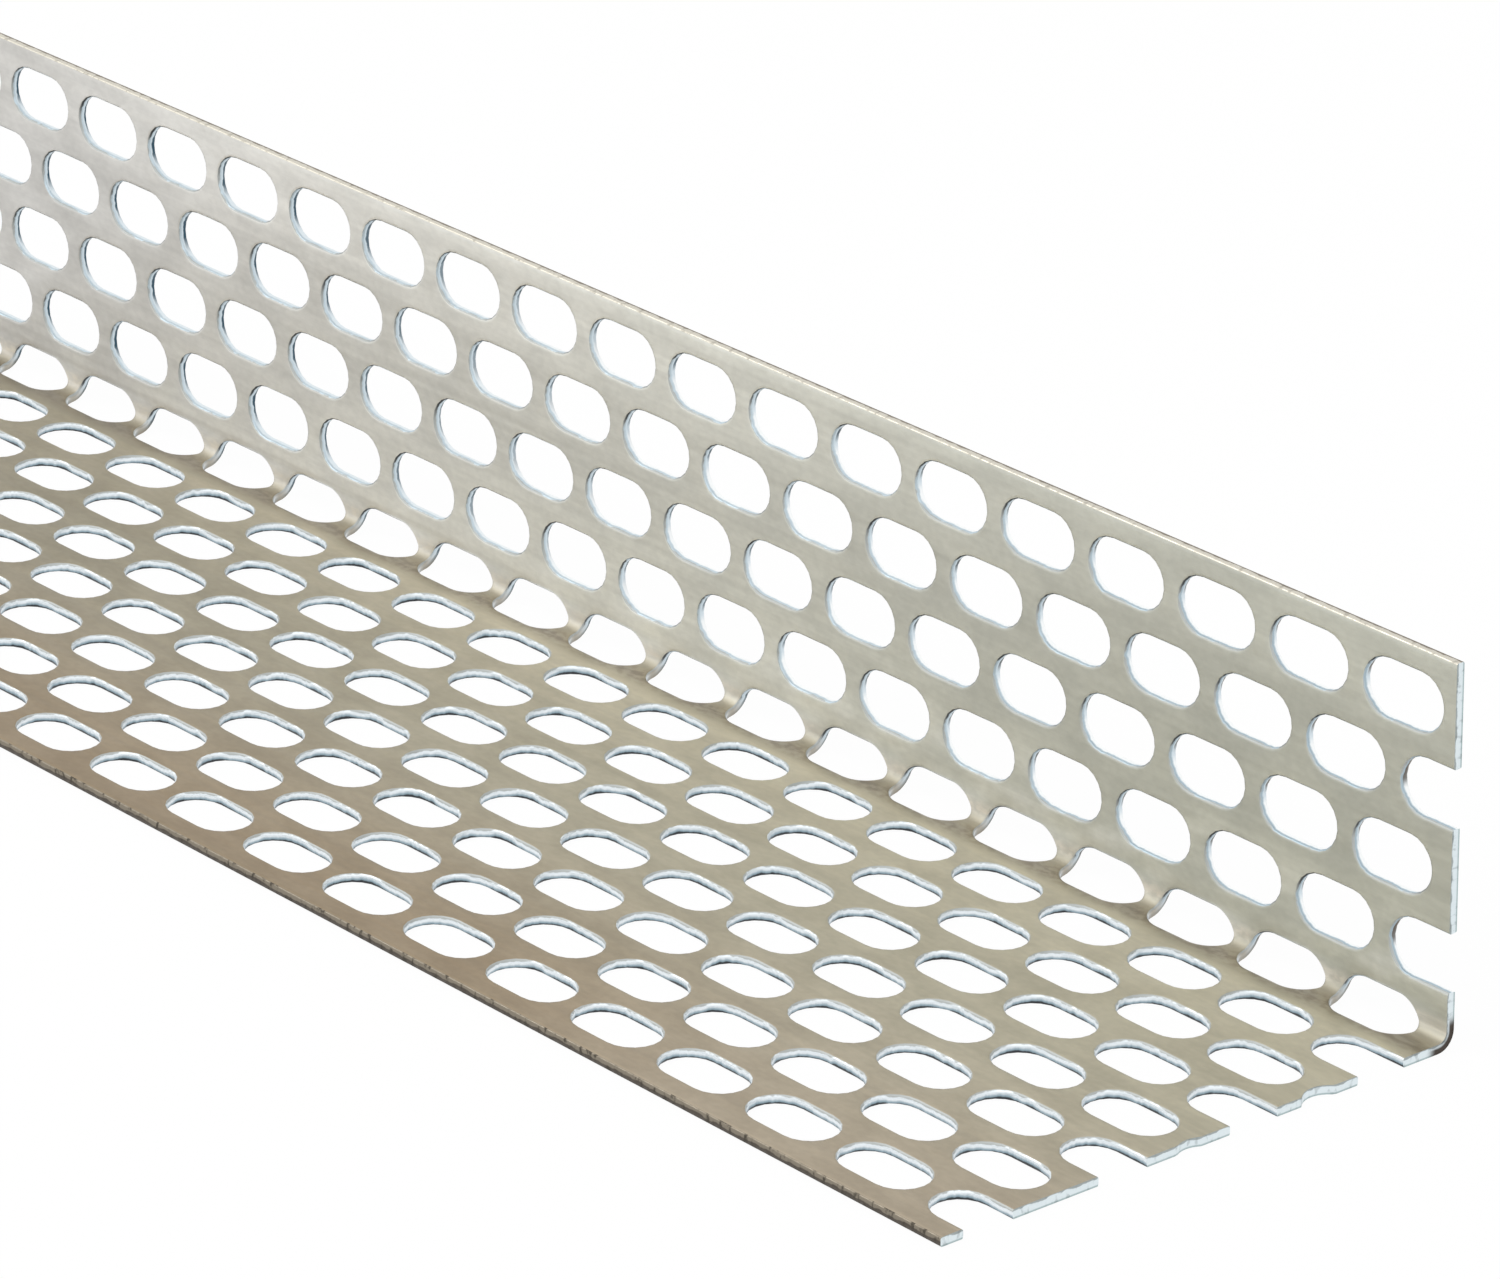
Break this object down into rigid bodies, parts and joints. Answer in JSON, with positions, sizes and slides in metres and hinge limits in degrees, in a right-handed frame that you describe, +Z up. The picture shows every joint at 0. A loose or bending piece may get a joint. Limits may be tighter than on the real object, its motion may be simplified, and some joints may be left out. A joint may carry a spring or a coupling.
{
  "type": "perforated vent strip",
  "caption": "Thin aluminium angle punched all over with staggered round-ended slots, for closing a ventilation gap while letting air through.",
  "frame": {"origin": "centre of the underside of the bounding box: the flat leg's underside is at Z = 0", "axes": "+X along the strip towards its sawn end, +Y towards the back of the upright leg, +Z up along the upright leg"},
  "size_m": [0.179, 0.05, 0.03],
  "materials": {
    "aluminium_sheet": "satin mill finish with faint rolling streaks"
  },
  "bodies": {
    "root": {"perforated_angle": "aluminium_sheet"}
  },
  "joints": []
}
